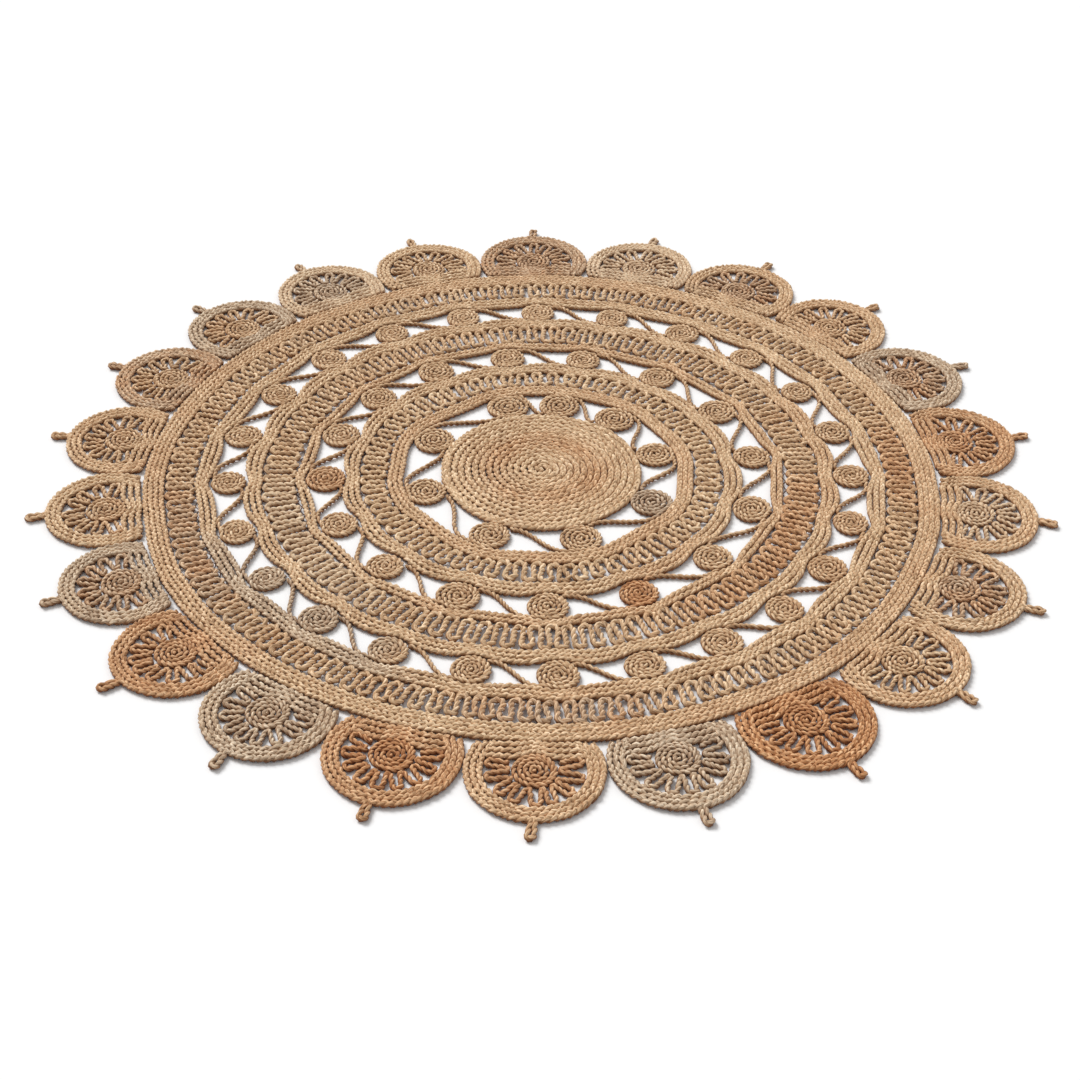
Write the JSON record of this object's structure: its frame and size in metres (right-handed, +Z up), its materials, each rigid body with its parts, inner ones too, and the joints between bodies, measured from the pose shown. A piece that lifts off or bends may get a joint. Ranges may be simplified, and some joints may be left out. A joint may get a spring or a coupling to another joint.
{
  "type": "area rug",
  "caption": "Round openwork jute area rug: coiled medallion, rosette rings, looped rings, braided bands and a petal border with tip loops.",
  "frame": {"origin": "middle of the rug's underside, on the floor", "axes": "+Z up out of the pile side; +Y towards the petal next to bearing zero; the rug is round, so X and Y are interchangeable but for the hand-set rosettes"},
  "size_m": [1.5017, 1.5121, 0.011],
  "materials": {
    "braided_jute": "matte natural fibre braid",
    "coiled_jute": "matte natural fibre coil",
    "twisted_jute": "matte natural fibre cord, two strands twisted",
    "sewing_twine": "matte thin twine"
  },
  "bodies": {
    "root": {"band_seam_twine": "sewing_twine", "braided_band_1": "braided_jute", "braided_band_2": "braided_jute", "braided_band_3": "braided_jute", "braided_band_4": "braided_jute", "braided_band_5": "braided_jute", "braided_band_6": "braided_jute", "inner_link_cords": "twisted_jute", "inner_looped_ring": "twisted_jute", "inner_rosettes": "coiled_jute", "loop_seam_twine": "sewing_twine", "medallion_coil": "coiled_jute", "middle_link_cords": "twisted_jute", "middle_looped_ring": "twisted_jute", "middle_rosettes": "coiled_jute", "outer_link_cords": "twisted_jute", "outer_looped_ring": "twisted_jute", "outer_rosettes": "coiled_jute", "petal_base_rows": "braided_jute", "petal_border_01": "braided_jute", "petal_border_02": "braided_jute", "petal_border_03": "braided_jute", "petal_border_04": "braided_jute", "petal_border_05": "braided_jute", "petal_border_06": "braided_jute", "petal_border_07": "braided_jute", "petal_border_08": "braided_jute", "petal_border_09": "braided_jute", "petal_border_10": "braided_jute", "petal_border_11": "braided_jute", "petal_border_12": "braided_jute", "petal_border_13": "braided_jute", "petal_border_14": "braided_jute", "petal_border_15": "braided_jute", "petal_border_16": "braided_jute", "petal_border_17": "braided_jute", "petal_border_18": "braided_jute", "petal_border_19": "braided_jute", "petal_border_20": "braided_jute", "petal_border_21": "braided_jute", "petal_border_22": "braided_jute", "petal_fans": "twisted_jute", "petal_rosettes": "coiled_jute", "petal_seam_twine": "sewing_twine", "petal_tip_loops": "twisted_jute", "rosette_tacks": "sewing_twine"}
  },
  "joints": []
}
